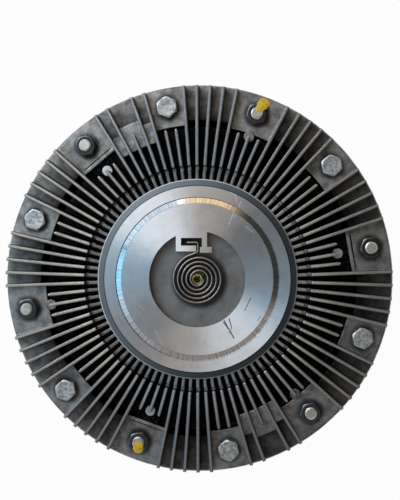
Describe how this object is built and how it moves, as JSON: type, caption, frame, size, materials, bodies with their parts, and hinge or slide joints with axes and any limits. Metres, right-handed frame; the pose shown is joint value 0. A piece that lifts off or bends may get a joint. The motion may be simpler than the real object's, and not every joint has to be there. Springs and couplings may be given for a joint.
{
  "type": "viscous fan clutch",
  "caption": "Viscous fan clutch: finned aluminium housing on a double-row bearing, with a bimetal coil that turns an oil valve and studs that carry the fan.",
  "frame": {"origin": "centre of the rear mounting face of the input flange", "axes": "+Z along the axis of rotation towards the finned front, +Y towards the coil anchor at the top of the front view"},
  "size_m": [0.26, 0.26, 0.103],
  "materials": {
    "shaft_steel": "turned forged steel, lightly oiled",
    "bearing_steel": "ground and polished",
    "cage_plastic": "moulded polyamide",
    "seal_rubber": "matt moulded rubber",
    "spring_steel": "phosphated spring steel",
    "rotor_aluminium": "turned",
    "cast_aluminium": "dark as-cast skin with machined faces",
    "plate_steel": "cold-rolled sheet",
    "yellow_zinc": "yellow passivated zinc",
    "bimetal": "rolled bimetal strip, warm grey",
    "bright_zinc": "bright zinc plate",
    "dark_steel": "blackened steel"
  },
  "bodies": {
    "drive": {"input_shaft": "shaft_steel", "bearing_inner_ring": "bearing_steel", "rotor": "rotor_aluminium", "rotor_circlip": "spring_steel"},
    "housing": {"rear_housing": "cast_aluminium", "front_cover": "cast_aluminium", "housing_seal": "seal_rubber", "bearing_outer_ring": "bearing_steel", "bearing_seal_rear": "seal_rubber", "bearing_seal_front": "seal_rubber", "bearing_circlip": "spring_steel", "partition_plate": "plate_steel", "partition_screws": "yellow_zinc", "bimetal_coil": "bimetal", "cover_bolts": "bright_zinc", "fan_studs": "bright_zinc", "stud_nuts": "dark_steel"},
    "ball_cages": {"bearing_balls": "bearing_steel", "bearing_cage_rear": "cage_plastic", "bearing_cage_front": "cage_plastic"},
    "valve": {"valve_shaft": "yellow_zinc", "valve_seal": "seal_rubber", "valve_clip": "spring_steel", "valve_arm": "plate_steel"}
  },
  "joints": [
    {"name": "housing_spin", "type": "hinge", "parent": "drive", "child": "housing", "pos_m": [0, 0, 0.072], "axis": [0, 0, 1], "continuous": true},
    {"name": "cage_spin", "type": "hinge", "parent": "drive", "child": "ball_cages", "pos_m": [0, 0, 0.0465], "axis": [0, 0, 1], "continuous": true},
    {"name": "valve_turn", "type": "hinge", "parent": "housing", "child": "valve", "pos_m": [0, 0, 0.094], "axis": [0, 0, 1], "range_deg": [0, 30], "stiffness_Nm_per_rad": 0.03, "deforming": ["bimetal_coil"]}
  ],
  "couplings": [
    {"joint": "cage_spin", "follows": "housing_spin", "ratio": 0.593}
  ]
}
